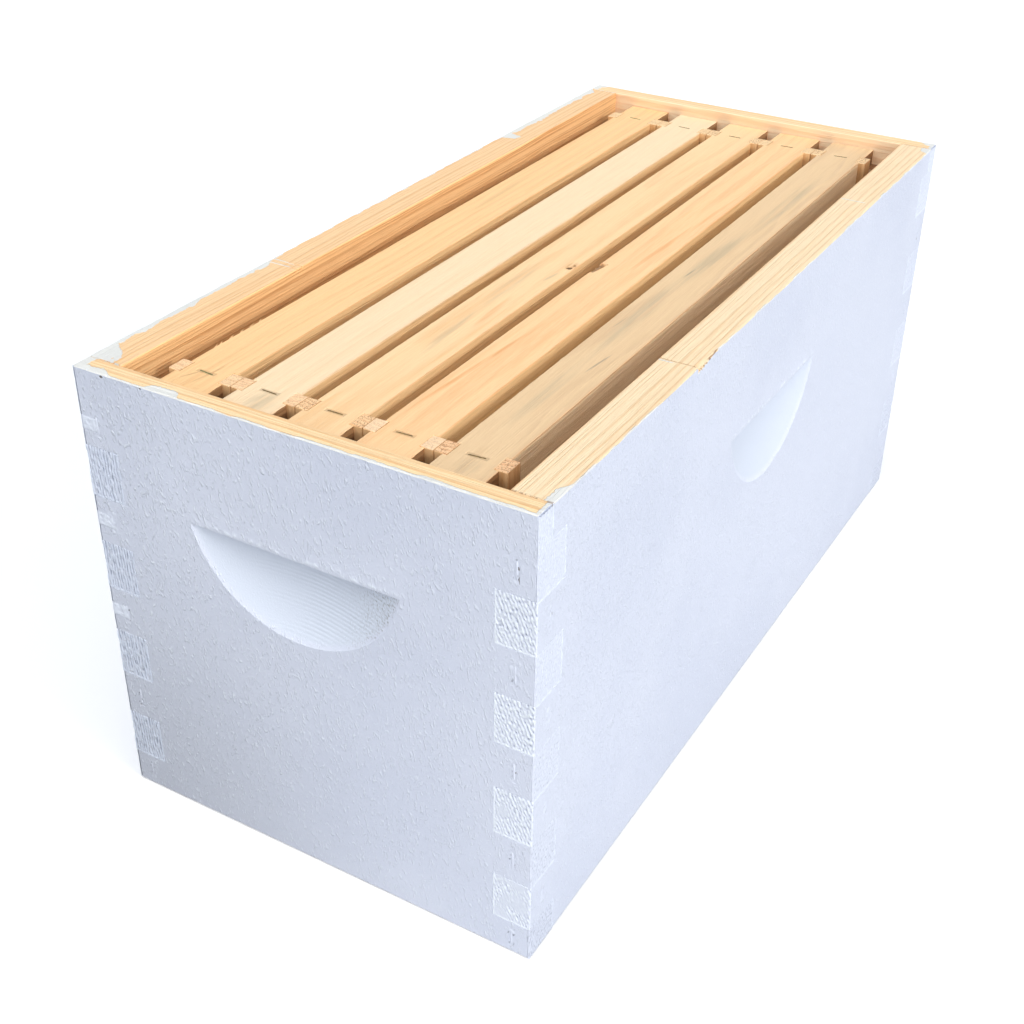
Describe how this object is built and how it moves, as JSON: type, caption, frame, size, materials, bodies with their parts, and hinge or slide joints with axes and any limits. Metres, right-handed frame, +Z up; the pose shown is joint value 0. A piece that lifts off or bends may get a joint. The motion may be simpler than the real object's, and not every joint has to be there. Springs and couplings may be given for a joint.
{
  "type": "nuc box",
  "caption": "Painted pine nucleus hive box with finger-jointed corners, handholds and hanging wooden frames that lift out.",
  "frame": {"origin": "middle of the box's bottom", "axes": "+X to the right across the frames, +Y along the length to the back, +Z up"},
  "size_m": [0.2396, 0.5056, 0.245],
  "materials": {
    "painted_pine": "rolled white paint outside, bare pine inside and on the rim",
    "bare_pine": "planed and unsealed",
    "staple_steel": "dull wire",
    "waxed_sheet": "pressed with cells and coated with wax"
  },
  "bodies": {
    "box": {"left_side_board": "painted_pine", "right_side_board": "painted_pine", "front_end_board": "painted_pine", "back_end_board": "painted_pine", "end_board_staples": "staple_steel", "side_board_staples": "staple_steel"},
    "frame_1": {"frame_1_top_bar": "bare_pine", "frame_1_front_end_bar": "bare_pine", "frame_1_rear_end_bar": "bare_pine", "frame_1_bottom_bar": "bare_pine", "frame_1_foundation": "waxed_sheet", "frame_1_staples": "staple_steel"},
    "frame_2": {"frame_2_top_bar": "bare_pine", "frame_2_front_end_bar": "bare_pine", "frame_2_rear_end_bar": "bare_pine", "frame_2_bottom_bar": "bare_pine", "frame_2_foundation": "waxed_sheet", "frame_2_staples": "staple_steel"},
    "frame_3": {"frame_3_top_bar": "bare_pine", "frame_3_front_end_bar": "bare_pine", "frame_3_rear_end_bar": "bare_pine", "frame_3_bottom_bar": "bare_pine", "frame_3_foundation": "waxed_sheet", "frame_3_staples": "staple_steel"},
    "frame_4": {"frame_4_top_bar": "bare_pine", "frame_4_front_end_bar": "bare_pine", "frame_4_rear_end_bar": "bare_pine", "frame_4_bottom_bar": "bare_pine", "frame_4_foundation": "waxed_sheet", "frame_4_staples": "staple_steel"},
    "frame_5": {"frame_5_top_bar": "bare_pine", "frame_5_front_end_bar": "bare_pine", "frame_5_rear_end_bar": "bare_pine", "frame_5_bottom_bar": "bare_pine", "frame_5_foundation": "waxed_sheet", "frame_5_staples": "staple_steel"}
  },
  "joints": [
    {"name": "frame_1_lift", "type": "slide", "parent": "box", "child": "frame_1", "axis": [0, 0, 1], "range_m": [0, 0.25]},
    {"name": "frame_2_lift", "type": "slide", "parent": "box", "child": "frame_2", "axis": [0, 0, 1], "range_m": [0, 0.25]},
    {"name": "frame_3_lift", "type": "slide", "parent": "box", "child": "frame_3", "axis": [0, 0, 1], "range_m": [0, 0.25]},
    {"name": "frame_4_lift", "type": "slide", "parent": "box", "child": "frame_4", "axis": [0, 0, 1], "range_m": [0, 0.25]},
    {"name": "frame_5_lift", "type": "slide", "parent": "box", "child": "frame_5", "axis": [0, 0, 1], "range_m": [0, 0.25]}
  ]
}
